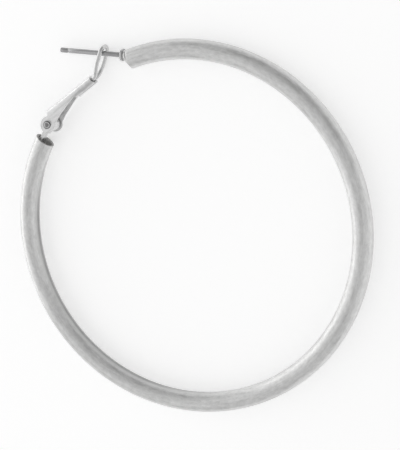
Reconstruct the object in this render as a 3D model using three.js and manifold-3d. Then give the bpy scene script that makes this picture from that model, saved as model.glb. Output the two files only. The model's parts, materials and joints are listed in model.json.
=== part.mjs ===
// A large hoop earring with an omega clip, lying on its side.
//
// A hollow round tube is bent to a ring with a gap. A post with a round pad is soldered into one end of
// the tube. A tongue soldered in the other, open end carries the clip: a stamped channel with a wire loop
// crimped in its neck, which turns on a rivet and closes over the post.
//
// Millimetres. The ring lies flat, round the Z axis, and touches the surface at z = 0. The post points
// along -X.

import * as THREE from "three";
import { mergeVertices } from "three/addons/utils/BufferGeometryUtils.js";
import Module from "manifold-3d";

const wasm = await Module();
wasm.setup();

// ---- Driving dimensions ----

const HOOP = { outerDiameter: 65, tube: 3.5, wall: 0.35 };
const GAP_DEG = { post: 113.3, hinge: 155.6 }; // where round the ring the tube's two ends are
const MOUTH_SLANT_DEG = 9; // the open end is cut a little longer on the outside of the ring

const POST = { diameter: 0.9, tipX: -25.35, y: 28.8, tipChamfer: 0.12 };
const GROOVE = { fromTip: 1.35, width: 0.28, depth: 0.07 };
const PAD = { diameter: 2.2, thickness: 0.55, frontX: -13.82, edgeRound: 0.12 };
const BOSS = { throat: 0.95, foot: 1.66, skin: 0.05, plugLength: 1.2, plugCone: 0.3 };

const PIVOT = { x: -26.88, y: 15.67 };
const LEVER_DEG = 39.8; // the way the lever's back runs, closed
const LEVER = { width: 2.9, sheet: 0.35, bend: 0.95, backY: 2.28, plateStart: 0.95 };
const CHEEK = { round: 1.5, fromDeg: 66, toDeg: 333, stopLength: 0.15, waistX: 7.4, waistY: 1.02 };
const NECK = { startX: 7.2, endX: 11.5, width: 2.4, bend: 0.75, bottomY: 0.8, lipRound: 0.7, slit: 0.3 };
const RIVET = { shank: 0.55, flange: 0.92, flangeHeight: 0.1, boss: 0.58, rise: 0.25 };
const RIVET_DISH = { radius: 0.3, depth: 0.1 };
const LUG = { knuckle: 1.25, sheet: 0.42, width: 1.8 };

// The wire runs out of the neck to a corner, where it bends up towards the post.
const WIRE = { diameter: 0.74, neckZ: 0.385, axisY: 1.54, cornerX: 12.42, bendDeg: 35.6 };
const LOOP = { half: 1.37, topAlong: 5.42 };

const RUNNING = 0.04; // radial play between a turning pair
const SEAT = 0.04; // a solder film, or the play under a rivet head

// How far each of the wire's two strands stands from the middle, on the way from the neck to the loop's
// round top. Distances along the wire are from the corner, and are negative in the neck.
const STRAND = [
  { along: -4.4, half: WIRE.neckZ },
  { along: -2.8, half: WIRE.neckZ },
  { along: -1.35, half: WIRE.neckZ },
  { along: -0.35, half: 0.56 },
  { along: 0.3, half: 0.76 },
  { along: 0.8, half: 1.03 },
  { along: 1.4, half: 1.25 },
  { along: 2.2, half: LOOP.half },
  { along: 3.1, half: LOOP.half },
];

// The cheek's free edge, from its round end to the waist in front of the neck, in the lever's own frame.
const CHEEK_EDGE = [
  { x: 2.25, y: -0.28 },
  { x: 3.1, y: 0.06 },
  { x: 4.4, y: 0.42 },
  { x: 5.5, y: 0.76 },
  { x: 6.6, y: 1.0 },
];

// The tongue's middle line: along the tube's end direction, and out from the tube's centreline.
const TONGUE_LINE = [
  { along: -3.0, out: 0.78 },
  { along: -1.7, out: 0.78 },
  { along: -0.8, out: 0.6 },
  { along: 0.0, out: 0.48 },
  { along: 0.8, out: 0.56 },
  { along: 1.6, out: 0.6 },
  { along: 2.6, out: 0.4 },
];

// How finely the round shapes are divided.
const RING_STEPS = 96;
const TUBE_SIDES = 16;
const ROUND = 28; // sides of the turned pieces
const WIRE_SIDES = 10;
const WIRE_STEPS = 84;
const TONGUE_STEPS = 30;
const QUARTER = [0, 22.5, 45, 67.5, 90]; // degrees

// ---- Derived sizes ----

const RING_R = (HOOP.outerDiameter - HOOP.tube) / 2; // the tube's centreline
const TUBE_R = HOOP.tube / 2;
const BORE_R = TUBE_R - HOOP.wall;
const rad = THREE.MathUtils.degToRad;

// ---- Solids ----

function solidOf(geometry) {
  const plain = geometry.clone();
  plain.deleteAttribute("normal");
  plain.deleteAttribute("uv");
  const merged = mergeVertices(plain, 1e-5);
  return new wasm.Manifold(new wasm.Mesh({
    numProp: 3,
    vertProperties: new Float32Array(merged.attributes.position.array),
    triVerts: new Uint32Array(merged.index.array),
  }));
}

function geometryOf(solid) {
  const { vertProperties, triVerts } = solid.getMesh();
  const geometry = new THREE.BufferGeometry();
  geometry.setAttribute("position", new THREE.BufferAttribute(vertProperties, 3));
  geometry.setIndex(new THREE.BufferAttribute(triVerts, 1));
  geometry.computeVertexNormals();
  return geometry;
}

// A flat outline made thick about its own plane.
function plate(shape, width, curveSegments = ROUND / 2) {
  const options = { depth: width, bevelEnabled: false, curveSegments };
  return new THREE.ExtrudeGeometry(shape, options).translate(0, 0, -width / 2);
}

// A section (drawn as z, y) drawn out along +X from one x to another.
function bar(section, fromX, toX, curveSegments = 6) {
  const options = { depth: toX - fromX, bevelEnabled: false, curveSegments };
  return new THREE.ExtrudeGeometry(section, options).rotateY(Math.PI / 2).translate(fromX, 0, 0);
}

function disc(x, y, radius) {
  return new THREE.Shape().absarc(x, y, radius, 0, 2 * Math.PI);
}

// A turned piece on the Z axis, from its profile as [radius, z], bottom to top.
function turned(profile, sides = ROUND) {
  const points = profile.map(([r, z]) => new THREE.Vector2(r, z));
  return new THREE.LatheGeometry(points, sides).rotateX(Math.PI / 2);
}

class RingCurve extends THREE.Curve {
  constructor(fromDeg, toDeg) {
    super();
    this.from = rad(fromDeg);
    this.to = rad(toDeg);
  }
  getPoint(t, target = new THREE.Vector3()) {
    const a = this.from + (this.to - this.from) * t;
    return target.set(RING_R * Math.cos(a), RING_R * Math.sin(a), 0);
  }
}

// A tube's end: its middle, the way out of the tube, and the way out from the ring's centre.
function tubeEnd(deg, turn) {
  const a = rad(deg);
  return {
    middle: new THREE.Vector3(RING_R * Math.cos(a), RING_R * Math.sin(a), 0),
    out: new THREE.Vector3(-Math.sin(a) * turn, Math.cos(a) * turn, 0),
    radial: new THREE.Vector3(Math.cos(a), Math.sin(a), 0),
  };
}

const postEnd = tubeEnd(GAP_DEG.post, 1);
const mouthEnd = tubeEnd(GAP_DEG.hinge, -1);

// ---- The pieces ----

function hoopTube() {
  const spareDeg = 2; // drawn past the mouth, then cut back on the slant
  const ring = new THREE.Shape().absarc(0, 0, TUBE_R, 0, 2 * Math.PI);
  ring.holes.push(new THREE.Path().absarc(0, 0, BORE_R, 0, 2 * Math.PI, true));
  const drawn = new THREE.ExtrudeGeometry(ring, {
    extrudePath: new RingCurve(GAP_DEG.hinge - spareDeg, 360 + GAP_DEG.post),
    steps: RING_STEPS,
    curveSegments: TUBE_SIDES / 2, // a full circle takes twice this many sides
  });
  const saw = new THREE.BoxGeometry(2 * HOOP.tube, 2 * HOOP.tube, 2 * HOOP.tube);
  saw.translate(0, HOOP.tube, 0); // its cutting face passes through the origin
  saw.rotateZ(Math.atan2(mouthEnd.out.y, mouthEnd.out.x) - Math.PI / 2 - rad(MOUTH_SLANT_DEG));
  saw.translate(...mouthEnd.middle);
  return geometryOf(solidOf(drawn).subtract(solidOf(saw)));
}

function earPost() {
  const wireR = POST.diameter / 2;
  const padR = PAD.diameter / 2;
  const length = PAD.frontX - POST.tipX;
  const post = turned([
    [0, 0],
    [wireR - POST.tipChamfer, 0],
    [wireR, POST.tipChamfer],
    [wireR, GROOVE.fromTip],
    [wireR - GROOVE.depth, GROOVE.fromTip + GROOVE.width / 2],
    [wireR, GROOVE.fromTip + GROOVE.width],
    [wireR, length],
    [padR - PAD.edgeRound, length],
    [padR, length + PAD.edgeRound],
    [padR, length + PAD.thickness - PAD.edgeRound],
    [padR - PAD.edgeRound, length + PAD.thickness],
    [0, length + PAD.thickness],
  ]).rotateY(Math.PI / 2).translate(POST.tipX, POST.y, 0);

  // The solder boss is a cone from the pad's back to the rim of the tube's end.
  const outDirection = Math.atan2(postEnd.out.y, postEnd.out.x);
  const atPad = turned([
    [0, 0],
    [BOSS.throat, 0],
    [BOSS.throat, BOSS.skin],
    [0, BOSS.skin],
  ]).rotateY(Math.PI / 2).translate(PAD.frontX + PAD.thickness / 2, POST.y, 0);
  const atTube = turned([
    [0, SEAT],
    [BOSS.foot, SEAT],
    [BOSS.foot, SEAT + BOSS.skin],
    [0, SEAT + BOSS.skin],
  ]).rotateY(Math.PI / 2).rotateZ(outDirection).translate(...postEnd.middle);
  const boss = wasm.Manifold.hull([solidOf(atPad), solidOf(atTube)]);

  // A plug under the boss fills the tube's bore.
  const plug = turned([
    [0, -BOSS.plugLength],
    [BORE_R - SEAT, -BOSS.plugLength],
    [BORE_R - SEAT, SEAT + BOSS.skin],
    [0, SEAT + BOSS.plugCone],
  ]).rotateY(Math.PI / 2).rotateZ(outDirection).translate(...postEnd.middle);

  return geometryOf(boss.add(solidOf(plug)).add(solidOf(post)));
}

function hingeLug() {
  const place = ({ along, out }) => mouthEnd.middle.clone()
    .addScaledVector(mouthEnd.out, along).addScaledVector(mouthEnd.radial, out);
  const line = new THREE.CatmullRomCurve3(TONGUE_LINE.map(place));
  const strip = new THREE.Shape([
    new THREE.Vector2(-LUG.sheet / 2, -LUG.width / 2),
    new THREE.Vector2(LUG.sheet / 2, -LUG.width / 2),
    new THREE.Vector2(LUG.sheet / 2, LUG.width / 2),
    new THREE.Vector2(-LUG.sheet / 2, LUG.width / 2),
  ]);
  const tongue = sweptFlat(strip, line, TONGUE_STEPS);
  const knuckle = solidOf(plate(disc(PIVOT.x, PIVOT.y, LUG.knuckle), LUG.width));
  const eye = solidOf(plate(disc(PIVOT.x, PIVOT.y, RIVET.shank + RUNNING), 2 * LUG.width));
  return geometryOf(knuckle.add(solidOf(tongue)).subtract(eye));
}

// A section swept along a line that stays in XY: section x lies in the plane, section y along Z.
function sweptFlat(section, line, steps) {
  const outline = section.getPoints();
  const count = outline.length;
  const positions = [];
  for (let i = 0; i <= steps; i++) {
    const at = line.getPoint(i / steps);
    const along = line.getTangent(i / steps);
    for (const p of outline) {
      positions.push(at.x - along.y * p.x, at.y + along.x * p.x, at.z + p.y);
    }
  }
  const faces = [];
  for (let i = 0; i < steps; i++) {
    for (let j = 0; j < count; j++) {
      const a = i * count + j;
      const b = i * count + ((j + 1) % count);
      faces.push(a, b, b + count, a, b + count, a + count);
    }
  }
  for (const [a, b, c] of THREE.ShapeUtils.triangulateShape(outline, [])) {
    const last = steps * count;
    faces.push(c, b, a, last + a, last + b, last + c);
  }
  const geometry = new THREE.BufferGeometry();
  geometry.setAttribute("position", new THREE.Float32BufferAttribute(positions, 3));
  geometry.setIndex(faces);
  return geometry;
}

// The lever's section: a back plate, two rounded bends and two cheeks, open below. Drawn as z, y.
function channelSection() {
  const w = LEVER.width / 2;
  const t = LEVER.sheet;
  const bendY = LEVER.backY - LEVER.bend;
  const below = -2 * CHEEK.round;
  const s = new THREE.Shape();
  s.moveTo(w, below);
  s.lineTo(w, bendY);
  s.absarc(w - LEVER.bend, bendY, LEVER.bend, 0, Math.PI / 2);
  s.absarc(LEVER.bend - w, bendY, LEVER.bend, Math.PI / 2, Math.PI);
  s.lineTo(-w, below);
  s.lineTo(t - w, below);
  s.lineTo(t - w, bendY);
  s.absarc(LEVER.bend - w, bendY, LEVER.bend - t, Math.PI, Math.PI / 2, true);
  s.absarc(w - LEVER.bend, bendY, LEVER.bend - t, Math.PI / 2, 0, true);
  s.lineTo(w - t, below);
  return s;
}

// The neck's section: the same channel pressed narrower, with its cheeks rolled under until only a slit is
// left.
function neckSection() {
  const w = NECK.width / 2;
  const t = LEVER.sheet;
  const bendY = LEVER.backY - NECK.bend;
  const lipY = NECK.bottomY + NECK.lipRound;
  const g = NECK.slit / 2;
  const s = new THREE.Shape();
  s.moveTo(g, NECK.bottomY);
  s.absarc(w - NECK.lipRound, lipY, NECK.lipRound, -Math.PI / 2, 0);
  s.absarc(w - NECK.bend, bendY, NECK.bend, 0, Math.PI / 2);
  s.absarc(NECK.bend - w, bendY, NECK.bend, Math.PI / 2, Math.PI);
  s.absarc(NECK.lipRound - w, lipY, NECK.lipRound, Math.PI, 1.5 * Math.PI);
  s.lineTo(-g, NECK.bottomY);
  s.lineTo(-g, NECK.bottomY + t);
  s.absarc(NECK.lipRound - w, lipY, NECK.lipRound - t, 1.5 * Math.PI, Math.PI, true);
  s.absarc(NECK.bend - w, bendY, NECK.bend - t, Math.PI, Math.PI / 2, true);
  s.absarc(w - NECK.bend, bendY, NECK.bend - t, Math.PI / 2, 0, true);
  s.absarc(w - NECK.lipRound, lipY, NECK.lipRound - t, 0, -Math.PI / 2, true);
  s.lineTo(g, NECK.bottomY + t);
  return s;
}

function clipLever() {
  const overTop = 2 * LEVER.backY; // clear above the back plate
  const side = new THREE.Shape();
  side.moveTo(LEVER.plateStart, overTop);
  side.lineTo(LEVER.plateStart, LEVER.backY - LEVER.bend + CHEEK.stopLength);
  side.absarc(0, 0, CHEEK.round, rad(CHEEK.fromDeg), rad(CHEEK.toDeg));
  side.splineThru(CHEEK_EDGE.map(({ x, y }) => new THREE.Vector2(x, y)));
  side.lineTo(CHEEK.waistX, CHEEK.waistY);
  side.lineTo(CHEEK.waistX, overTop);
  const channel = solidOf(bar(channelSection(), -2 * CHEEK.round, CHEEK.waistX + NECK.bend));
  const outline = solidOf(plate(side, 2 * LEVER.width));
  const neck = solidOf(bar(neckSection(), NECK.startX, NECK.endX));
  const hole = solidOf(plate(disc(0, 0, RIVET.shank + SEAT), 2 * LEVER.width));
  return geometryOf(channel.intersect(outline).add(neck).subtract(hole));
}

function clipLoop() {
  const bend = rad(WIRE.bendDeg);
  const roundStart = LOOP.topAlong - LOOP.half;
  const round = QUARTER.map((deg) => ({
    along: roundStart + LOOP.half * Math.sin(rad(deg)),
    half: LOOP.half * Math.cos(rad(deg)),
  }));
  const strand = [...STRAND, ...round].map(({ along, half }) => new THREE.Vector3(
    WIRE.cornerX + along * (along < 0 ? 1 : Math.cos(bend)),
    WIRE.axisY + Math.max(along, 0) * Math.sin(bend),
    half,
  ));
  const back = strand.slice(0, -1).reverse().map(({ x, y, z }) => new THREE.Vector3(x, y, -z));
  const line = new THREE.CatmullRomCurve3([...strand, ...back], false, "centripetal");
  const options = { extrudePath: line, steps: WIRE_STEPS, curveSegments: WIRE_SIDES / 2 };
  return new THREE.ExtrudeGeometry(disc(0, 0, WIRE.diameter / 2), options);
}

// Each end is spun over to a low flange with a dished boss in its middle.
function hingeRivet() {
  const seat = LEVER.width / 2 + SEAT;
  const head = [
    [RIVET.shank, 0],
    [RIVET.flange, 0],
    [RIVET.flange, RIVET.flangeHeight],
    [RIVET.boss, RIVET.rise],
    [RIVET_DISH.radius, RIVET.rise],
    [0, RIVET.rise - RIVET_DISH.depth],
  ];
  return turned([
    ...head.map(([r, h]) => [r, -seat - h]).reverse(),
    ...head.map(([r, h]) => [r, seat + h]),
  ]);
}

// ---- Finishes ----

const satin = new THREE.MeshStandardMaterial({ color: 0xc9c9c7, roughness: 0.42, metalness: 1 });
const polished = new THREE.MeshStandardMaterial({ color: 0xd6d6d4, roughness: 0.2, metalness: 1 });
const steel = new THREE.MeshStandardMaterial({ color: 0xb9babc, roughness: 0.22, metalness: 1 });

function piece(name, geometry, material) {
  const mesh = new THREE.Mesh(geometry, material.clone());
  mesh.name = name;
  return mesh;
}

// ---- Assembly ----

const clip = new THREE.Group();
clip.position.set(PIVOT.x, PIVOT.y, 0);
clip.rotation.z = rad(LEVER_DEG);
clip.add(
  piece("clip_lever", clipLever(), polished),
  piece("clip_loop", clipLoop(), polished),
  piece("hinge_rivet", hingeRivet(), polished),
);

const earring = new THREE.Group();
earring.position.z = TUBE_R;
earring.add(
  piece("hoop_tube", hoopTube(), satin),
  piece("ear_post", earPost(), steel),
  piece("hinge_lug", hingeLug(), polished),
  clip,
);

export default earring;
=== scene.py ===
"""A large satin hoop earring with an omega clip, lying on a pale table.

Every piece is built at the bench in millimetres and then put in the frame, which is in metres.
"""

import json
import math

import bmesh
import bpy
from mathutils import Matrix, Vector, noise


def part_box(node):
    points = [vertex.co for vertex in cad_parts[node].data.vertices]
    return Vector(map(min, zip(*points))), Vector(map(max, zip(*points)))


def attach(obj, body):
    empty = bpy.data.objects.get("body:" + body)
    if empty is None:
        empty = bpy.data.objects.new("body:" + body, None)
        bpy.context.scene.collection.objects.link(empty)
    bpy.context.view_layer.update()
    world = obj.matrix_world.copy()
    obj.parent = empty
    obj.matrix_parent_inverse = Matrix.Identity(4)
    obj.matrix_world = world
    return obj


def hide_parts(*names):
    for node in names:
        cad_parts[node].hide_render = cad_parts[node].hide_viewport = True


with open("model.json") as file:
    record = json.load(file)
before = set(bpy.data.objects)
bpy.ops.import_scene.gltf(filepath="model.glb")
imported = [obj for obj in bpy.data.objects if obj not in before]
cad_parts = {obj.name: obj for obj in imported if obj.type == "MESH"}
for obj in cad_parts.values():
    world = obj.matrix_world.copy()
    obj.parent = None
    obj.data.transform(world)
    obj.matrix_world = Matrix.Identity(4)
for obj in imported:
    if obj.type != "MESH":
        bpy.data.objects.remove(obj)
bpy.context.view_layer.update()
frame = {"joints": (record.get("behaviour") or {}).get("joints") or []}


# ---- The tube ----
# A hollow brass tube, drawn straight, bent to a ring with a gap, and cut off on a slight slant at its open end.
# Its plating is brushed lengthwise to a satin, while the bore keeps the dull brown-grey of annealed metal.

MM = 0.001
tube_low, tube_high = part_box("hoop_tube")
TUBE_RADIUS = (tube_high.z - tube_low.z) / 2 / MM
RING_RADIUS = (tube_high.x - tube_low.x) / 2 / MM - TUBE_RADIUS
TUBE_WALL = 0.35
POST_END = math.radians(113.3)
MOUTH_END = math.radians(155.6)
MOUTH_SLANT = math.radians(9)
TUBE_SIDES = 64
TUBE_STEPS = 360
SLANT_REACH = 9.0
DEBURR = 0.07


def blank_material(name):
    """A new material's node tree, with its Principled shader."""
    material = bpy.data.materials.new(name)
    material.use_nodes = True
    tree = material.node_tree
    return material, tree, tree.nodes["Principled BSDF"]


def add(tree, kind, inputs=(), **settings):
    """A node with its settings, and its inputs given by name as values or as the sockets that feed them."""
    made = tree.nodes.new(kind)
    for name, value in settings.items():
        setattr(made, name, value)
    for name, value in dict(inputs).items():
        socket = made.inputs[name]
        if isinstance(value, bpy.types.NodeSocket):
            tree.links.new(value, socket)
        else:
            socket.default_value = value
    return made


def stretched(tree, place, scale):
    """Coordinates squeezed by a factor each way, so that a pattern on them is drawn out where it is small."""
    return add(tree, "ShaderNodeMapping", {"Vector": place, "Scale": scale}).outputs["Vector"]


def grain(tree, place, scale, detail=4.0, roughness=0.55):
    """Soft noise between 0 and 1."""
    made = add(tree, "ShaderNodeTexNoise",
               {"Vector": place, "Scale": scale, "Detail": detail, "Roughness": roughness})
    return made.outputs["Fac"]


def between(tree, value, low, high, start=0.3, end=0.7):
    """value carried from start..end to low..high."""
    made = add(tree, "ShaderNodeMapRange",
               {"Value": value, "From Min": start, "From Max": end, "To Min": low, "To Max": high})
    return made.outputs["Result"]


def sums(tree, first, second, share=1.0):
    """first + second * share."""
    return add(tree, "ShaderNodeMath", {0: second, 1: share, 2: first}, operation="MULTIPLY_ADD").outputs["Value"]


def times(tree, *values):
    """The product of several values."""
    result = values[0]
    for value in values[1:]:
        result = add(tree, "ShaderNodeMath", {0: result, 1: value}, operation="MULTIPLY").outputs["Value"]
    return result


def greys(tree, value, dark, light):
    """A colour between two, by value."""
    made = add(tree, "ShaderNodeValToRGB", {"Fac": value})
    for stop, colour in zip(made.color_ramp.elements, (dark, light)):
        stop.color = (*colour, 1)
    return made.outputs["Color"]


def dulled(tree, colour, share, dark):
    """The colour taken towards a dark grey by share."""
    made = add(tree, "ShaderNodeMix", data_type="RGBA")
    tree.links.new(share, made.inputs[0])
    tree.links.new(colour, made.inputs[6])
    made.inputs[7].default_value = (dark, dark, dark, 1)
    return made.outputs[2]


def relief(tree, height, depth_mm, strength=1.0):
    """A bump of that depth."""
    made = add(tree, "ShaderNodeBump", {"Height": height, "Strength": strength, "Distance": depth_mm * MM})
    return made.outputs["Normal"]


def own_way(tree, name="drawn"):
    """A drawn piece's place before it was bent: across, across and along, in millimetres."""
    return add(tree, "ShaderNodeAttribute", attribute_name=name, attribute_type="GEOMETRY").outputs["Vector"]


def satin_plating():
    """Rhodium-type plating brushed lengthwise, with streaks, a fine mottle, slow bands along the tube, and a
    painted shadow line along the inside of the ring.
    """
    material, tree, shader = blank_material("satin_plating")
    place = own_way(tree)
    hairs = grain(tree, stretched(tree, place, (6, 6, 0.22)), 1.6, 6, 0.7)
    streaks = grain(tree, stretched(tree, place, (2.3, 2.3, 0.22)), 1.0, 5, 0.65)
    mottle = grain(tree, stretched(tree, place, (1.8, 1.8, 1.0)), 1.0, 5, 0.7)
    bands = grain(tree, stretched(tree, place, (1.2, 1.2, 0.05)), 1.0, 3, 0.5)
    worn = sums(tree, between(tree, streaks, 0, 0.33), between(tree, mottle, 0, 0.42))
    tone = sums(tree, sums(tree, worn, between(tree, hairs, 0, 0.15)), between(tree, bands, 0, 0.1))
    brushed = greys(tree, tone, (0.5, 0.5, 0.495), (0.94, 0.94, 0.935))

    # A painted shadow line darkens the colour along the inside of the ring, low down, and fades out towards the
    # post.
    out, up, along = add(tree, "ShaderNodeSeparateXYZ", {"Vector": place}).outputs
    off_line = add(tree, "ShaderNodeMath", {0: sums(tree, up, 0.15)}, operation="ABSOLUTE").outputs["Value"]
    painted_shadow_line = times(tree, between(tree, off_line, 1, 0, 0.05, 0.9), between(tree, out, 1, 0, -1.2, -0.8),
                 between(tree, along, 0, 1, 2, 14), between(tree, along, 1, 0, 54, 72),
                 between(tree, mottle, 0.6, 0.9))
    tree.links.new(dulled(tree, brushed, painted_shadow_line, 0.2), shader.inputs["Base Color"])
    tree.links.new(sums(tree, between(tree, streaks, 0.28, 0.38), between(tree, mottle, 0, 0.06)),
                   shader.inputs["Roughness"])
    tree.links.new(relief(tree, sums(tree, sums(tree, hairs, streaks, 1.5), mottle, 2.0), 0.011),
                   shader.inputs["Normal"])
    shader.inputs["Metallic"].default_value = 1
    shader.inputs["Anisotropic"].default_value = 0.45
    shader.inputs["Anisotropic Rotation"].default_value = 0.25
    return material


def dull_bore():
    """The grey scale left inside the tube by annealing."""
    material, tree, shader = blank_material("dull_bore")
    place = own_way(tree)
    scale_marks = grain(tree, stretched(tree, place, (3, 3, 0.8)), 1.5, 5, 0.65)
    tree.links.new(greys(tree, between(tree, scale_marks, 0, 1), (0.48, 0.475, 0.465), (0.78, 0.775, 0.76)),
                   shader.inputs["Base Color"])
    tree.links.new(between(tree, scale_marks, 0.65, 0.45), shader.inputs["Roughness"])
    tree.links.new(relief(tree, scale_marks, 0.02), shader.inputs["Normal"])
    shader.inputs["Metallic"].default_value = 0.2
    return material


def sawn_end():
    """Bare dark metal, scratched across by the saw."""
    material, tree, shader = blank_material("sawn_end")
    place = own_way(tree)
    scratches = grain(tree, stretched(tree, place, (5, 0.6, 5)), 2.0, 5, 0.7)
    tree.links.new(greys(tree, between(tree, scratches, 0, 1), (0.22, 0.22, 0.215), (0.42, 0.415, 0.41)),
                   shader.inputs["Base Color"])
    tree.links.new(between(tree, scratches, 0.3, 0.45), shader.inputs["Roughness"])
    tree.links.new(relief(tree, scratches, 0.01), shader.inputs["Normal"])
    shader.inputs["Metallic"].default_value = 1
    return material


def bent_tube_tree():
    """Sweeps a round section along the ring, keeps each point's place on the straight tube, and cuts the mouth."""
    tree = bpy.data.node_groups.new("bent_tube", "GeometryNodeTree")
    sockets = {}
    tree.interface.new_socket("Geometry", in_out="INPUT", socket_type="NodeSocketGeometry")
    for name, kind in (("Ring Radius", "Float"), ("Tube Radius", "Float"), ("Start", "Float"), ("Sweep", "Float"),
                       ("Slant", "Float"), ("Slant Reach", "Float"), ("Sides", "Int"), ("Steps", "Int"),
                       ("Finish", "Material")):
        sockets[name] = tree.interface.new_socket(name, in_out="INPUT", socket_type="NodeSocket" + kind)
    tree.interface.new_socket("Geometry", in_out="OUTPUT", socket_type="NodeSocketGeometry")
    given = add(tree, "NodeGroupInput").outputs

    ring = add(tree, "GeometryNodeCurveArc", {"Resolution": given["Steps"], "Radius": given["Ring Radius"],
                                              "Start Angle": given["Start"], "Sweep Angle": given["Sweep"]})
    length = add(tree, "GeometryNodeSplineParameter").outputs["Length"]
    ring_kept = add(tree, "GeometryNodeStoreNamedAttribute",
                    {"Geometry": ring.outputs["Curve"], "Name": "along", "Value": length}, data_type="FLOAT")
    section = add(tree, "GeometryNodeCurvePrimitiveCircle",
                  {"Resolution": given["Sides"], "Radius": given["Tube Radius"]})
    here = add(tree, "GeometryNodeInputPosition").outputs["Position"]
    section_kept = add(tree, "GeometryNodeStoreNamedAttribute",
                       {"Geometry": section.outputs["Curve"], "Name": "across", "Value": here},
                       data_type="FLOAT_VECTOR")
    swept = add(tree, "GeometryNodeCurveToMesh", {"Curve": ring_kept.outputs["Geometry"],
                                                  "Profile Curve": section_kept.outputs["Geometry"]})

    across = add(tree, "GeometryNodeInputNamedAttribute", {"Name": "across"}, data_type="FLOAT_VECTOR")
    along = add(tree, "GeometryNodeInputNamedAttribute", {"Name": "along"}, data_type="FLOAT")
    across_xyz = add(tree, "ShaderNodeSeparateXYZ", {"Vector": across.outputs["Attribute"]}).outputs
    drawn = add(tree, "ShaderNodeCombineXYZ", {"X": across_xyz["X"], "Y": across_xyz["Y"],
                                               "Z": along.outputs["Attribute"]})
    kept = add(tree, "GeometryNodeStoreNamedAttribute",
               {"Geometry": swept.outputs["Mesh"], "Name": "drawn", "Value": drawn.outputs["Vector"]},
               data_type="FLOAT_VECTOR")

    # The slant: each point near the mouth slides along the tube by how far out from the ring's line it is.
    xyz = add(tree, "ShaderNodeSeparateXYZ", {"Vector": here}).outputs
    flat = add(tree, "ShaderNodeCombineXYZ", {"X": xyz["X"], "Y": xyz["Y"]}).outputs["Vector"]
    reach = add(tree, "ShaderNodeVectorMath", {0: flat}, operation="LENGTH").outputs["Value"]
    out = add(tree, "ShaderNodeMath", {0: reach, 1: given["Ring Radius"]}, operation="SUBTRACT").outputs["Value"]
    fade = add(tree, "ShaderNodeMapRange",
               {"Value": along.outputs["Attribute"], "From Min": 0.0, "From Max": given["Slant Reach"],
                "To Min": 1.0, "To Max": 0.0}).outputs["Result"]
    slope = add(tree, "ShaderNodeMath", {0: given["Slant"]}, operation="TANGENT").outputs["Value"]
    slide = add(tree, "ShaderNodeMath", {0: out, 1: slope}, operation="MULTIPLY").outputs["Value"]
    slide = add(tree, "ShaderNodeMath", {0: slide, 1: fade}, operation="MULTIPLY").outputs["Value"]
    turn_back = add(tree, "ShaderNodeMath", {0: xyz["X"], 1: -1.0}, operation="MULTIPLY").outputs["Value"]
    backwards = add(tree, "ShaderNodeCombineXYZ", {"X": xyz["Y"], "Y": turn_back}).outputs["Vector"]
    unit = add(tree, "ShaderNodeVectorMath", {0: backwards}, operation="NORMALIZE").outputs["Vector"]
    offset = add(tree, "ShaderNodeVectorMath", {0: unit, "Scale": slide}, operation="SCALE").outputs["Vector"]
    cut = add(tree, "GeometryNodeSetPosition", {"Geometry": kept.outputs["Geometry"], "Offset": offset})
    smooth = add(tree, "GeometryNodeSetShadeSmooth", {"Geometry": cut.outputs["Geometry"]})
    whole = add(tree, "GeometryNodeRealizeInstances", {"Geometry": smooth.outputs["Geometry"]})
    plated = add(tree, "GeometryNodeSetMaterial", {"Geometry": whole.outputs["Geometry"],
                                                   "Material": given["Finish"]})
    add(tree, "NodeGroupOutput", {"Geometry": plated.outputs["Geometry"]})
    return tree, sockets


def baked(piece):
    """A plain mesh of what the piece's modifiers make, with the modifiers taken off."""
    evaluated = piece.evaluated_get(bpy.context.evaluated_depsgraph_get())
    mesh = bpy.data.meshes.new_from_object(evaluated)
    piece.modifiers.clear()
    piece.data = mesh
    return mesh


def in_frame(piece, body, replaces=(), turn=Matrix.Identity(4)):
    """Puts a piece made in millimetres in its place, in metres, and hangs it on its body."""
    piece.data.transform(Matrix.Scale(MM, 4) @ turn)
    piece.data.update()
    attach(piece, body)
    if replaces:
        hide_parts(*replaces)
    return piece


def new_piece(name, mesh=None):
    """A piece in the scene, at the origin."""
    piece = bpy.data.objects.new(name, mesh or bpy.data.meshes.new(name))
    bpy.context.scene.collection.objects.link(piece)
    return piece


tube = new_piece("satin_tube")
tube.data.materials.append(satin_plating())
bend_tree, bend_sockets = bent_tube_tree()
bend = tube.modifiers.new("bend", "NODES")
bend.node_group = bend_tree
for name, value in {
    "Ring Radius": RING_RADIUS,
    "Tube Radius": TUBE_RADIUS,
    "Start": MOUTH_END,
    "Sweep": 2 * math.pi + POST_END - MOUTH_END,
    "Slant": MOUTH_SLANT,
    "Slant Reach": SLANT_REACH,
    "Sides": TUBE_SIDES,
    "Steps": TUBE_STEPS,
    "Finish": tube.data.materials[0],
}.items():
    bend[bend_sockets[name].identifier] = value
baked(tube)

tube.data.materials.append(dull_bore())
tube.data.materials.append(sawn_end())
wall = tube.modifiers.new("wall", "SOLIDIFY")
wall.thickness = TUBE_WALL
wall.offset = -1
wall.material_offset = 1
wall.material_offset_rim = 2
deburr = tube.modifiers.new("deburr", "BEVEL")
deburr.width = DEBURR
deburr.segments = 3
deburr.limit_method = "ANGLE"
deburr.angle_limit = math.radians(50)
baked(tube)
in_frame(tube, "hoop", ["hoop_tube"], Matrix.Translation((0, 0, TUBE_RADIUS)))


# ---- The ear post ----
# A straight steel wire with a rounded tip and a shallow groove near it, which a butterfly back would click into.
# It is drawn wire, so its marks run lengthwise. Its root is soldered in a small round pad.

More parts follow.
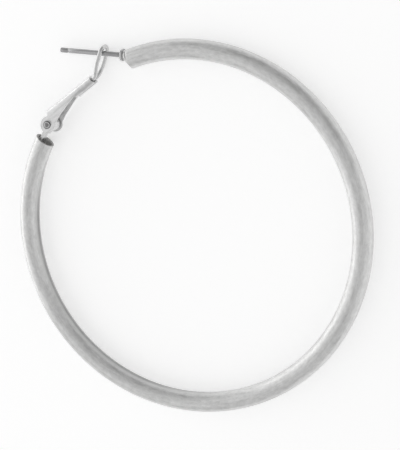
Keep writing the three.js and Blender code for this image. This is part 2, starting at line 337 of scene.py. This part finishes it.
POST_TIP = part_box("ear_post")[0].x / MM
POST_ACROSS = 28.8
POST_LINE = Matrix.Translation((POST_TIP, POST_ACROSS, TUBE_RADIUS)) @ Matrix.Rotation(math.pi / 2, 4, "Y")
POST_RADIUS = 0.45
POST_LENGTH = 11.53
GROOVE_AT = 1.49
GROOVE_WIDTH = 0.3
GROOVE_DEPTH = 0.07
PAD_RADIUS = 1.1
PAD_THICKNESS = 0.55


def rounded(corners, steps=6):
    """A profile with each corner (across, along, radius) turned to an arc."""
    points = []
    for i, (x, y, radius) in enumerate(corners):
        here = Vector((x, y))
        if radius == 0 or i in (0, len(corners) - 1):
            points.append(here)
            continue
        into = (Vector(corners[i - 1][:2]) - here).normalized()
        out = (Vector(corners[i + 1][:2]) - here).normalized()
        half = into.angle(out) / 2
        middle = here + (into + out).normalized() * radius / math.sin(half)
        start = here + into * radius / math.tan(half) - middle
        sweep = start.angle_signed(here + out * radius / math.tan(half) - middle)
        points += [middle + Matrix.Rotation(-sweep * k / steps, 2) @ start for k in range(steps + 1)]
    return points


def turned(name, profile, sides=72):
    """A lathe piece on the Z axis, from (radius, along) points that start and end on the axis."""
    shape = bmesh.new()
    rings = []
    for radius, along in profile:
        if radius < 1e-6:
            rings.append([shape.verts.new((0, 0, along))])
            continue
        turns = [2 * math.pi * k / sides for k in range(sides)]
        rings.append([shape.verts.new((radius * math.cos(a), radius * math.sin(a), along)) for a in turns])
    for first, second in zip(rings, rings[1:]):
        for k in range(sides):
            ends = [first[k % len(first)], first[(k + 1) % len(first)],
                    second[(k + 1) % len(second)], second[k % len(second)]]
            shape.faces.new(list(dict.fromkeys(ends)))
    return finished_mesh(name, shape)


def finished_mesh(name, shape):
    """The shape as a smooth mesh with its faces outwards, which remembers its places from before it was put up."""
    bmesh.ops.recalc_face_normals(shape, faces=shape.faces)
    if shape.calc_volume(signed=True) < 0:
        bmesh.ops.reverse_faces(shape, faces=shape.faces)
    for face in shape.faces:
        face.smooth = True
    mesh = bpy.data.meshes.new(name)
    shape.to_mesh(mesh)
    shape.free()
    if "drawn" not in mesh.attributes:
        drawn = mesh.attributes.new("drawn", "FLOAT_VECTOR", "POINT")
        drawn.data.foreach_set("vector", [x for vertex in mesh.vertices for x in vertex.co])
    return mesh


def drawn_steel():
    """Bright wire with fine draw lines along it."""
    material, tree, shader = blank_material("drawn_steel")
    place = own_way(tree)
    lines = grain(tree, stretched(tree, place, (5, 5, 0.25)), 2.2, 5, 0.7)
    specks = grain(tree, place, 5.0, 4, 0.6)
    tree.links.new(greys(tree, sums(tree, between(tree, lines, 0, 0.7), between(tree, specks, 0, 0.3)),
                         (0.36, 0.36, 0.365), (0.56, 0.56, 0.565)), shader.inputs["Base Color"])
    tree.links.new(between(tree, lines, 0.1, 0.2), shader.inputs["Roughness"])
    tree.links.new(relief(tree, lines, 0.004), shader.inputs["Normal"])
    shader.inputs["Metallic"].default_value = 1
    return material


def bright_plating(name, grey, gloss, wave_mm, marks_and_shade=None):
    """Rhodium over brass straight from the press: bright, a little wavy, with rub marks, and darkened where it is
    told, by the marks and painted shade handed to it.
    """
    material, tree, shader = blank_material(name)
    place = own_way(tree)
    waves = grain(tree, place, 0.9, 2, 0.4)
    rubs = grain(tree, stretched(tree, place, (0.5, 3.2, 3.2)), 1.6, 6, 0.7)
    film = grain(tree, place, 1.7, 5, 0.6)
    tone = sums(tree, between(tree, rubs, 0, 0.4), between(tree, film, 0, 0.6))
    colour = greys(tree, tone, (grey - 0.09,) * 3, (grey + 0.05,) * 3)
    if marks_and_shade:
        colour = dulled(tree, colour, marks_and_shade(tree, place, film), 0.1)
    tree.links.new(colour, shader.inputs["Base Color"])
    tree.links.new(sums(tree, between(tree, film, gloss, gloss + 0.08), between(tree, rubs, 0, 0.05)),
                   shader.inputs["Roughness"])
    tree.links.new(relief(tree, sums(tree, waves, rubs, 0.03), wave_mm), shader.inputs["Normal"])
    shader.inputs["Metallic"].default_value = 1
    return material


def root_and_edge_shade(tree, place, film):
    """Painted shade round the root of the post, where it meets the pad, and mottled along the pad's back edge."""
    across = add(tree, "ShaderNodeVectorMath", {0: stretched(tree, place, (1, 1, 0))}, operation="LENGTH")
    along = add(tree, "ShaderNodeSeparateXYZ", {"Vector": place}).outputs["Z"]
    back_edge = POST_LENGTH + PAD_THICKNESS
    return sums(tree, times(tree, between(tree, along, 0, 0.9, back_edge - 0.2, back_edge - 0.05), film),
                between(tree, across.outputs["Value"], 0.5, 0, POST_RADIUS + 0.05, POST_RADIUS + 0.25))


post = new_piece("post_wire", turned("post_wire", rounded([
    (0, 0, 0), (POST_RADIUS, 0, 0.16)]
    + [(POST_RADIUS - GROOVE_DEPTH * math.sin(math.pi * k / 8), GROOVE_AT + GROOVE_WIDTH * (k / 8 - 0.5), 0)
       for k in range(9)]
    + [(POST_RADIUS, 4, 0), (POST_RADIUS, 7, 0), (POST_RADIUS, POST_LENGTH + 0.2, 0), (0, POST_LENGTH + 0.2, 0)])))
post.data.materials.append(drawn_steel())
in_frame(post, "hoop", ["ear_post"], POST_LINE)

pad = new_piece("post_pad", turned("post_pad", rounded([
    (0, POST_LENGTH - 0.12, 0), (POST_RADIUS + 0.03, POST_LENGTH - 0.12, 0.03),
    (POST_RADIUS + 0.12, POST_LENGTH, 0.1),
    (PAD_RADIUS, POST_LENGTH, 0.16), (PAD_RADIUS, POST_LENGTH + PAD_THICKNESS, 0.2),
    (0.7, POST_LENGTH + PAD_THICKNESS, 0), (0, POST_LENGTH + PAD_THICKNESS, 0)], 8)))
# The pad's colour gets painted shade round the post's root and along its back edge.
pad.data.materials.append(bright_plating("pad_plating", 0.66, 0.2, 0.012, root_and_edge_shade))
in_frame(pad, "hoop", (), POST_LINE)


# ---- The solder that closes the tube's end ----
# Silver solder run between the pad and the tube: a short waisted boss that flares over the tube's end, dressed
# flush with it and brushed along with the tube. It plugs the bore behind.

END_TURN = POST_END + math.pi / 2
END_PLACE = Vector((math.cos(POST_END), math.sin(POST_END), 0)) * RING_RADIUS
END_OUT = Vector((math.cos(END_TURN), math.sin(END_TURN), 0))
UP = Vector((0, 0, 1))


def lofted(name, rings, sides=72, ripple=0.0):
    """A closed shape through rings, each a middle, the way it faces, and its half widths in plane and upright."""
    shape = bmesh.new()
    loops = []
    for middle, facing, in_plane, upright in rings:
        sideways = UP.cross(facing).normalized()
        loop = []
        for k in range(sides):
            a = 2 * math.pi * k / sides
            place = middle + sideways * in_plane * math.cos(a) + UP * upright * math.sin(a)
            uneven = ripple * noise.noise(place * 1.6)
            loop.append(shape.verts.new(place + (place - middle) * uneven))
        loops.append(loop)
    for first, second in zip(loops, loops[1:]):
        for k in range(sides):
            shape.faces.new((first[k], first[(k + 1) % sides], second[(k + 1) % sides], second[k]))
    for loop, (middle, *_) in ((loops[0], rings[0]), (loops[-1], rings[-1])):
        tip = shape.verts.new(middle)
        for k in range(sides):
            shape.faces.new((loop[k], loop[(k + 1) % sides], tip))
    return finished_mesh(name, shape)


def cap_rings():
    """From the plug's inner end out to the tube's rim, and in along a cone to the back of the pad."""
    bore = TUBE_RADIUS - TUBE_WALL
    rings = [(END_PLACE - END_OUT * depth, END_OUT, radius, radius)
             for depth, radius in ((1.2, 0.6), (1.1, bore - 0.2), (0.9, bore - 0.02), (0.0, bore - 0.02))]
    foot = END_PLACE + END_OUT * 0.02
    throat = POST_LINE @ Vector((0, 0, POST_LENGTH + PAD_THICKNESS - 0.05)) - UP * TUBE_RADIUS
    for step in range(13):
        share = step / 12
        hollow = 0.16 * math.sin(math.pi * share)
        radius = (TUBE_RADIUS - 0.06) * (1 - share) + (PAD_RADIUS - 0.2) * share - hollow
        facing = END_OUT.lerp(Vector((-1, 0, 0)), share).normalized()
        rings.append((foot.lerp(throat, share), facing, radius, radius))
    return rings


def silver_solder():
    """Solder that ran smooth and was then filed."""
    material, tree, shader = blank_material("silver_solder")
    place = own_way(tree)
    flow = grain(tree, place, 1.3, 4, 0.55)
    file_marks = grain(tree, stretched(tree, place, (1, 7, 7)), 2.0, 5, 0.7)
    tree.links.new(greys(tree, sums(tree, between(tree, flow, 0, 0.6), between(tree, file_marks, 0, 0.4)),
                         (0.6, 0.6, 0.595), (0.79, 0.79, 0.785)), shader.inputs["Base Color"])
    tree.links.new(between(tree, flow, 0.26, 0.38), shader.inputs["Roughness"])
    tree.links.new(relief(tree, sums(tree, flow, file_marks, 0.25), 0.03), shader.inputs["Normal"])
    shader.inputs["Metallic"].default_value = 1
    return material


cap = new_piece("solder_cap", lofted("solder_cap", cap_rings(), 72, 0.03))
cap.data.materials.append(silver_solder())
in_frame(cap, "hoop", (), Matrix.Translation((0, 0, TUBE_RADIUS)))


# ---- The hinge tongue ----
# A bent brass strip with a barrel knuckle and an eye for the rivet. Its foot lies inside the tube's open end, on
# the outer wall, where a little solder holds it. It is bright plated, like the clip.

PIVOT = Vector(frame["joints"][0]["pos_m"]) / MM
TONGUE = 0.42
TONGUE_WIDTH = 1.66
KNUCKLE = 1.25
EYE = 0.59
MOUTH_PLACE = Vector((math.cos(MOUTH_END), math.sin(MOUTH_END))) * RING_RADIUS
MOUTH_OUT = Vector((math.sin(MOUTH_END), -math.cos(MOUTH_END)))
MOUTH_RADIAL = Vector((math.cos(MOUTH_END), math.sin(MOUTH_END)))
tongue_line = [
    # along the way out of the tube, and out from its middle line
    (-3.0, 0.78),
    (-1.7, 0.78),
    (-0.8, 0.6),
    (0.0, 0.48),
    (0.8, 0.56),
    (1.6, 0.6),
    (2.6, 0.4),
]


def smooth_line(points, steps):
    """A line through points, bending evenly between them."""
    line = []
    ends = [points[0] * 2 - points[1], *points, points[-1] * 2 - points[-2]]
    for a, b, c, d in zip(ends, ends[1:], ends[2:], ends[3:]):
        for k in range(steps):
            t = k / steps
            line.append(0.5 * (2 * b + (c - a) * t + (2 * a - 5 * b + 4 * c - d) * t ** 2
                               + (3 * b - a - 3 * c + d) * t ** 3))
    return [*line, points[-1]]


def arc(middle, radius, start, end, steps):
    """Points round a circle, with angles in degrees."""
    turns = [math.radians(start + (end - start) * k / steps) for k in range(steps + 1)]
    return [middle + Vector((math.cos(a), math.sin(a))) * radius for a in turns]


def plate(outline, holes, thickness, edge, steps=4):
    """A flat plate in XY with rounded edges. The outline runs anticlockwise and the holes clockwise."""
    shape = bmesh.new()
    half = thickness / 2
    turns = [math.pi / 2 * k / steps for k in range(steps + 1)]
    levels = [(edge * (1 - math.sin(a)), -half + edge * (1 - math.cos(a))) for a in turns]
    levels += [(inset, -z) for inset, z in reversed(levels)]
    caps = [[], []]
    for loop in (outline, *holes):
        count = len(loop)
        inward = []
        for k in range(count):
            way = (loop[(k + 1) % count] - loop[k]).normalized() + (loop[k] - loop[k - 1]).normalized()
            way.normalize()
            inward.append(Vector((-way.y, way.x)))
        rings = [[shape.verts.new((*(p + n * inset), z)) for p, n in zip(loop, inward)] for inset, z in levels]
        for low, high in zip(rings, rings[1:]):
            for k in range(count):
                shape.faces.new((low[k - 1], low[k], high[k], high[k - 1]))
        for cap_edges, ring in zip(caps, (rings[0], rings[-1])):
            cap_edges += [shape.edges.get((ring[k - 1], ring[k])) for k in range(count)]
    for cap_edges in caps:
        bmesh.ops.triangle_fill(shape, use_beauty=True, use_dissolve=False, edges=cap_edges)
        for border in cap_edges:
            border.smooth = False
    bmesh.ops.recalc_face_normals(shape, faces=shape.faces)
    return shape


def tongue_outline():
    """Up one side of the strip, round the knuckle, and back down the other side."""
    centre = PIVOT.to_2d()
    line = smooth_line([MOUTH_PLACE + MOUTH_OUT * along + MOUTH_RADIAL * out for along, out in tongue_line], 6)
    sides = ([], [])
    for before, here, after in zip([line[0], *line], line, [*line[1:], line[-1]]):
        way = (after - before).normalized()
        across = Vector((-way.y, way.x)) * TONGUE / 2
        for side, place in zip(sides, (here - across, here + across)):
            if (place - centre).length > KNUCKLE * 1.03:
                side.append(place)
    right, left = sides
    start, end = (math.degrees(math.atan2(*(p - centre).yx)) for p in (right[-1], left[-1]))
    fillet = 14
    return [*right, *arc(centre, KNUCKLE, start + fillet, end + 360 - fillet if end < start else end - fillet, 48),
            *reversed(left)]


eye = list(reversed(arc(PIVOT.to_2d(), EYE, 0, 360 - 360 / 40, 39)))
tongue = new_piece("hinge_tongue", finished_mesh("hinge_tongue",
                                                 plate(tongue_outline(), [eye], TONGUE_WIDTH, 0.07)))
tongue.data.materials.append(bright_plating("tongue_plating", 0.78, 0.2, 0.012))
in_frame(tongue, "hoop", ["hinge_lug"], Matrix.Translation((0, 0, TUBE_RADIUS)))

solder_way = MOUTH_OUT.to_3d()
solder_middle = (MOUTH_PLACE + MOUTH_RADIAL * 1.1).to_3d()
bead = [(-3.3, 0.12), (-3.1, 0.3), (-2.2, 0.36), (-1.2, 0.34), (-0.7, 0.26), (-0.5, 0.12)]
mouth_solder = new_piece("mouth_solder", lofted("mouth_solder", [
    (solder_middle + solder_way * along, solder_way, thick, thick * 1.9) for along, thick in bead], 40, 0.35))
mouth_solder.data.materials.append(bpy.data.materials["silver_solder"])
in_frame(mouth_solder, "hoop", (), Matrix.Translation((0, 0, TUBE_RADIUS)))


# ---- The hinge rivet ----
# A brass pin through the lever's cheeks and the tongue's knuckle, bright plated like them. Each end is spun over
# to a low flange with a dished boss, with painted shade round the foot of the boss and in its dish.

SHANK = 0.55
FLANGE = 0.92
SEAT_HEIGHT = 1.48
RISE = 0.26


def boss_shade(tree, place, film):
    """Painted shade round the foot of the boss and in its dish."""
    flat_place = stretched(tree, place, (1, 1, 0))
    radius = add(tree, "ShaderNodeVectorMath", {0: flat_place}, operation="LENGTH").outputs["Value"]
    off = add(tree, "ShaderNodeMath", {0: sums(tree, radius, -0.64)}, operation="ABSOLUTE").outputs["Value"]
    ring = between(tree, off, 0.95, 0, 0.05, 0.15)
    return sums(tree, ring, between(tree, radius, 0.8, 0, 0.2, 0.4))


head_side = [(SHANK, 0.0, 0.03), (FLANGE, 0.0, 0.03), (FLANGE, 0.1, 0.05), (0.68, 0.12, 0.1), (0.56, RISE, 0.09),
             (0.42, RISE, 0.06), (0.3, 0.06, 0.08), (0, 0.06, 0)]
rivet_profile = [(r, SEAT_HEIGHT + h, round_) for r, h, round_ in head_side]
rivet_profile = [(r, -along, round_) for r, along, round_ in reversed(rivet_profile)] + rivet_profile
rivet = new_piece("rivet", turned("rivet", rounded(rivet_profile, 8)))
# The rivet's colour gets painted shade round its boss and in its dish.
rivet.data.materials.append(bright_plating("rivet_plating", 0.7, 0.12, 0.01, boss_shade))
in_frame(rivet, "clip", ["hinge_rivet"], Matrix.Translation(PIVOT))


# ---- The clip's lever ----
# Blanked from brass sheet and folded to a channel: a back plate and two cheeks that take the rivet. At the far end
# two wide tabs are rolled under to a neck and pressed shut round the wire.

LEVER_TURN = math.radians(39.8)
SHEET = 0.35
BACK = 2.105
FLAT = 0.27
BEND = 0.775
TURN = BEND * math.pi / 2
SPLAY = math.radians(11)
CHEEK = FLAT + BEND
CURL_START = FLAT + TURN + 0.03
CURL = 0.355
LOBE = 1.5
PIN_ACROSS = FLAT + TURN - BEND * SPLAY + (BACK - BEND * (1 - math.sin(SPLAY))) / math.cos(SPLAY)
TAB = 2.68
NECK_END = 11.5
LEVER_PLACE = Matrix.Translation(PIVOT) @ Matrix.Rotation(LEVER_TURN, 4, "Z")


def half_blank():
    """One side of the blank, as (along, across) from the plate's start to the neck's end."""
    lobe = arc(Vector((0, PIN_ACROSS)), LOBE, -66, -333, 44)
    free_edge = smooth_line([Vector((x, PIN_ACROSS - y)) for x, y in (
        (1.336, -0.681), (2.25, -0.28), (3.1, 0.06), (4.4, 0.42), (5.5, 0.76), (6.6, 1.0), (7.05, 1.03))], 5)
    shoulder = [Vector((x, PIN_ACROSS - y)) for x, y in ((7.22, 0.9), (7.28, 0.7), (7.33, 0.45))]
    corner = arc(Vector((7.72, TAB - 0.36)), 0.36, 175, 90, 5)
    far_corner = arc(Vector((NECK_END - 0.2, TAB - 0.2)), 0.2, 90, 0, 5)
    start = [Vector((x, PIN_ACROSS - y)) for x, y in ((0.95, 2.3), (0.95, 1.6), (0.9, 1.46), (0.76, 1.36))]
    return [*start, *lobe, *free_edge[1:], *shoulder, *corner, *far_corner, Vector((NECK_END, 1.2))]


def lever_outline():
    """The whole blank, anticlockwise."""
    half = half_blank()
    mirrored = [Vector((p.x, -p.y)) for p in half]
    return [*mirrored, *reversed(half)]


def eased(value, low, high):
    """0 below low and 1 above high, with a smooth step between."""
    t = min(1, max(0, (value - low) / (high - low)))
    return t * t * (3 - 2 * t)


def folded(place):
    """Where a point of the flat blank goes in the folded lever, whose cheeks splay a little up to the neck."""
    along, across, depth = place
    side = -1 if across < 0 else 1
    s = abs(across)
    splay = SPLAY * (1 - eased(along, 4.6, 7.2))
    bent = math.pi / 2 - splay
    a = min(max(0, (s - FLAT) / BEND), bent)
    beyond = max(0, s - FLAT - BEND * bent)
    out_y, out_z = math.cos(a), math.sin(a)
    y = BACK - BEND * (1 - out_y) - beyond * out_z
    z = min(s, FLAT) + BEND * out_z + beyond * out_y
    curl = eased(along, 6.9, 7.5)
    if s > CURL_START and curl > 0:
        a = min((s - CURL_START) / CURL, math.pi / 2) * curl
        beyond = max(0, s - CURL_START - CURL * math.pi / 2)
        y = BACK + FLAT + TURN - BEND - CURL_START - CURL / curl * math.sin(a) - beyond * math.cos(a)
        z = CHEEK - CURL / curl * (1 - math.cos(a)) - beyond * math.sin(a)
        out_y, out_z = -math.sin(a), math.cos(a)
    y, z = y + out_y * depth, z + out_z * depth
    # The tool that closed the neck on the wire left it a little flatter in the middle.
    press = eased(along, 8.3, 8.9) * (1 - eased(along, 9.6, 10.2))
    return Vector((along, y, side * z * (1 - 0.05 * press)))


def draw_lines_and_dark_neck(tree, place, film):
    """Draw lines run along the sheet, and the neck is darker towards its lower side, in a mottle."""
    along, up, out = add(tree, "ShaderNodeSeparateXYZ", {"Vector": place}).outputs
    drag = grain(tree, stretched(tree, place, (0.35, 2.4, 2.4)), 1.0, 5, 0.65)
    darker_low_neck = times(tree, between(tree, along, 0, 0.2, 6.9, 7.8), between(tree, up, 1, 0, 1.2, 2.0),
                   between(tree, film, 0.3, 1, 0.35, 0.6))
    return sums(tree, between(tree, drag, 0, 0.24, 0.42, 0.7), darker_low_neck)


pin_holes = [list(reversed(arc(Vector((0, side * PIN_ACROSS)), EYE, 0, 360 - 360 / 40, 39))) for side in (-1, 1)]
lever_shape = plate(lever_outline(), pin_holes, SHEET, 0.06)
cuts = [((x, 0, 0), (1, 0, 0)) for x in [0.2 * k for k in range(-6, 34)] + [6.8 + 0.12 * k for k in range(36)]]
cuts += [((0, side * (FLAT + TURN * k / 12), 0), (0, 1, 0)) for k in range(13) for side in (-1, 1)]
cuts += [((0, side * (CURL_START + CURL * math.pi / 2 * k / 10), 0), (0, 1, 0))
         for k in range(11) for side in (-1, 1)]
cuts += [((0, side * y, 0), (0, 1, 0)) for y in (0.2, 2.5, 2.9, 3.3, 3.7, 4.1) for side in (-1, 1)]
for place, facing in cuts:
    everything = lever_shape.verts[:] + lever_shape.edges[:] + lever_shape.faces[:]
    bmesh.ops.bisect_plane(lever_shape, geom=everything, dist=1e-5, plane_co=place, plane_no=facing)
bmesh.ops.remove_doubles(lever_shape, verts=lever_shape.verts, dist=0.002)
for vertex in lever_shape.verts:
    vertex.co = folded(vertex.co)
lever = new_piece("clip_channel", finished_mesh("clip_channel", lever_shape))
lever.data.materials.append(bright_plating("channel_plating", 0.82, 0.3, 0.02, draw_lines_and_dark_neck))
in_frame(lever, "clip", ["clip_lever"], LEVER_PLACE)


# ---- The wire loop ----
# One length of round brass wire. Its two ends lie side by side in the neck, from which it bends up, spreads to a
# long loop and closes over the post.

WIRE_RADIUS = 0.37
WIRE_AXIS = 1.54
CORNER = 12.42
WIRE_BEND = math.radians(35.6)
LOOP_HALF = 1.37
LOOP_TOP = 5.42
strand = [
    # along the wire from the corner, and out from the middle
    (-4.4, 0.385),
    (-2.8, 0.385),
    (-1.35, 0.385),
    (-0.35, 0.56),
    (0.3, 0.76),
    (0.8, 1.03),
    (1.4, 1.25),
    (2.2, LOOP_HALF),
    (3.1, LOOP_HALF),
]


def wire_tree():
    """A smooth round wire through the points of a line, which keeps its place along itself."""
    tree = bpy.data.node_groups.new("round_wire", "GeometryNodeTree")
    sockets = {}
    tree.interface.new_socket("Geometry", in_out="INPUT", socket_type="NodeSocketGeometry")
    for name, kind in (("Wire Radius", "Float"), ("Sides", "Int"), ("Steps", "Int"), ("Finish", "Material")):
        sockets[name] = tree.interface.new_socket(name, in_out="INPUT", socket_type="NodeSocket" + kind)
    tree.interface.new_socket("Geometry", in_out="OUTPUT", socket_type="NodeSocketGeometry")
    given = add(tree, "NodeGroupInput").outputs
    smooth = add(tree, "GeometryNodeCurveSplineType", {"Curve": given["Geometry"]}, spline_type="CATMULL_ROM")
    even = add(tree, "GeometryNodeResampleCurve", {"Curve": smooth.outputs["Curve"], "Count": given["Steps"]})
    length = add(tree, "GeometryNodeSplineParameter").outputs["Length"]
    marked = add(tree, "GeometryNodeStoreNamedAttribute",
                 {"Geometry": even.outputs["Curve"], "Name": "along", "Value": length}, data_type="FLOAT")
    section = add(tree, "GeometryNodeCurvePrimitiveCircle",
                  {"Resolution": given["Sides"], "Radius": given["Wire Radius"]})
    here = add(tree, "GeometryNodeInputPosition").outputs["Position"]
    section_kept = add(tree, "GeometryNodeStoreNamedAttribute",
                       {"Geometry": section.outputs["Curve"], "Name": "across", "Value": here},
                       data_type="FLOAT_VECTOR")
    swept = add(tree, "GeometryNodeCurveToMesh", {"Curve": marked.outputs["Geometry"],
                                                  "Profile Curve": section_kept.outputs["Geometry"],
                                                  "Fill Caps": True})
    across = add(tree, "GeometryNodeInputNamedAttribute", {"Name": "across"}, data_type="FLOAT_VECTOR")
    along = add(tree, "GeometryNodeInputNamedAttribute", {"Name": "along"}, data_type="FLOAT")
    across_xyz = add(tree, "ShaderNodeSeparateXYZ", {"Vector": across.outputs["Attribute"]}).outputs
    drawn = add(tree, "ShaderNodeCombineXYZ", {"X": along.outputs["Attribute"], "Y": across_xyz["X"],
                                               "Z": across_xyz["Y"]})
    kept = add(tree, "GeometryNodeStoreNamedAttribute",
               {"Geometry": swept.outputs["Mesh"], "Name": "drawn", "Value": drawn.outputs["Vector"]},
               data_type="FLOAT_VECTOR")
    shaded = add(tree, "GeometryNodeSetShadeSmooth", {"Geometry": kept.outputs["Geometry"]})
    whole = add(tree, "GeometryNodeRealizeInstances", {"Geometry": shaded.outputs["Geometry"]})
    plated = add(tree, "GeometryNodeSetMaterial", {"Geometry": whole.outputs["Geometry"],
                                                   "Material": given["Finish"]})
    add(tree, "NodeGroupOutput", {"Geometry": plated.outputs["Geometry"]})
    return tree, sockets


def loop_points():
    """The wire's line out of the neck, round the loop and back."""
    round_top = [(LOOP_TOP - LOOP_HALF + LOOP_HALF * math.sin(a), LOOP_HALF * math.cos(a))
                 for a in (math.pi / 8 * k for k in range(5))]
    side = [Vector((CORNER + along * (1 if along < 0 else math.cos(WIRE_BEND)),
                    WIRE_AXIS + max(along, 0) * math.sin(WIRE_BEND), half)) for along, half in strand + round_top]
    return side + [Vector((p.x, p.y, -p.z)) for p in reversed(side[:-1])]


route = loop_points()
wire_line = bpy.data.curves.new("wire_line", "CURVE")
wire_line.dimensions = "3D"
spline = wire_line.splines.new("POLY")
spline.points.add(len(route) - 1)
for point, place in zip(spline.points, route):
    point.co = (*place, 1)
line_piece = bpy.data.objects.new("wire_line", wire_line)
bpy.context.scene.collection.objects.link(line_piece)
draw_tree, draw_sockets = wire_tree()
draw = line_piece.modifiers.new("draw", "NODES")
draw.node_group = draw_tree
for name, value in {"Wire Radius": WIRE_RADIUS, "Sides": 28, "Steps": 190,
                    "Finish": bright_plating("wire_plating", 0.68, 0.15, 0.008)}.items():
    draw[draw_sockets[name].identifier] = value
wire = new_piece("wire_loop", bpy.data.meshes.new_from_object(
    line_piece.evaluated_get(bpy.context.evaluated_depsgraph_get())))
bpy.data.objects.remove(line_piece)
in_frame(wire, "clip", ["clip_loop"], LEVER_PLACE)


# ---- The table, the light and the camera ----
# A pale light table in a soft white room. A bank of softboxes on the left is brightest at table height, a small
# one stands in front and one on the right, and the far side is dim. The camera looks down from a hand's length.

def light_table():
    """A white top that glows a little and has a slight gloss."""
    material, tree, shader = blank_material("light_table")
    shader.inputs["Base Color"].default_value = (0.86, 0.86, 0.86, 1)
    shader.inputs["Roughness"].default_value = 0.35
    shader.inputs["Specular IOR Level"].default_value = 0.5
    shader.inputs["Emission Color"].default_value = (1, 1, 1, 1)
    shader.inputs["Emission Strength"].default_value = 0.4
    return material


FLOOR_SIZE = 6.0
corners = [(x * FLOOR_SIZE / 2, y * FLOOR_SIZE / 2, 0) for x, y in ((-1, -1), (1, -1), (1, 1), (-1, 1))]
table_mesh = bpy.data.meshes.new("table")
table_mesh.from_pydata(corners, [], [(0, 1, 2, 3)])
table = new_piece("table", table_mesh)
table_mesh.materials.append(light_table())


def aimed(piece, place, at, up=Vector((0, 0, 1))):
    """Puts a light or camera at a place, looking at a point."""
    back = (Vector(place) - Vector(at)).normalized()
    right = up.cross(back).normalized()
    piece.matrix_world = Matrix.Translation(place) @ Matrix((right, back.cross(right), back)).transposed().to_4x4()


def softbox(name, azimuth, elevation, distance, width, height, brightness):
    """A large area light whose face has that brightness."""
    lamp = bpy.data.lights.new(name, "AREA")
    lamp.shape = "RECTANGLE"
    lamp.size = width
    lamp.size_y = height
    lamp.energy = brightness * math.pi * width * height
    piece = bpy.data.objects.new(name, lamp)
    bpy.context.scene.collection.objects.link(piece)
    a, e = math.radians(azimuth), math.radians(elevation)
    aimed(piece, Vector((math.cos(a) * math.cos(e), math.sin(a) * math.cos(e), math.sin(e))) * distance, (0, 0, 0))
    piece.visible_camera = False


# Each box is given by name, azimuth, elevation, distance, width, height and brightness. The bank on the left
# stands a metre off, and each box in it has about a third of the brightness of the one below.
BANK_BRIGHTNESS = 1.4
BANK_FALL = 0.36
for step, (name, elevation, height) in enumerate((("left_low", 4, 0.3), ("left_middle", 24, 0.4),
                                                  ("left_high", 52, 0.5))):
    softbox(name, 178, elevation, 1.0, 1.3, height, BANK_BRIGHTNESS * BANK_FALL ** step)

# The small boxes round the rest of the table only fill in.
FILL_BRIGHTNESS = 0.2
softbox("left_far", 150, 3, 1.0, 0.8, 0.3, FILL_BRIGHTNESS)
softbox("front", 238, 38, 1.0, 0.5, 0.5, FILL_BRIGHTNESS)
softbox("right", -14, 22, 1.0, 0.9, 0.6, FILL_BRIGHTNESS)

world = bpy.data.worlds.new("studio")
bpy.context.scene.world = world
world.use_nodes = True
room = world.node_tree
background = room.nodes["Background"]
toward = add(room, "ShaderNodeTexCoord").outputs["Generated"]
DIM_SIDE = Vector((0.18, 0.86, 0.47)).normalized()
facing = add(room, "ShaderNodeVectorMath", {0: toward, 1: DIM_SIDE}, operation="DOT_PRODUCT").outputs["Value"]
level = between(room, facing, 0.63, 0.4, 0.6, 0.97)
room.links.new(level, background.inputs["Strength"])
background.inputs["Color"].default_value = (1, 1, 1, 1)
bpy.context.scene.view_settings.view_transform = "Standard"

CAMERA_AZIMUTH = math.radians(30.69)
CAMERA_LEAN = math.radians(24.52)
CAMERA_TURN = math.radians(4.9)
CAMERA_DISTANCE = 0.2422
LENS = 112.86
SENSOR = 36
lean_axis = Vector((-math.sin(CAMERA_AZIMUTH), math.cos(CAMERA_AZIMUTH), 0))
lean = Matrix.Rotation(CAMERA_LEAN, 3, lean_axis)
camera_data = bpy.data.cameras.new("camera")
camera_data.lens = LENS
camera_data.sensor_width = SENSOR
camera = bpy.data.objects.new("camera", camera_data)
bpy.context.scene.collection.objects.link(camera)
ring_middle = Vector((0, 0, TUBE_RADIUS * MM))
upward = lean @ Vector((-math.sin(CAMERA_TURN), math.cos(CAMERA_TURN), 0))
rightward = lean @ Vector((math.cos(CAMERA_TURN), math.sin(CAMERA_TURN), 0))
look_at = ring_middle + rightward * 0.0019 + upward * 0.0007
aimed(camera, ring_middle + lean @ Vector((0, 0, CAMERA_DISTANCE)), look_at, upward)
camera_data.clip_start = 0.01
bpy.context.scene.camera = camera
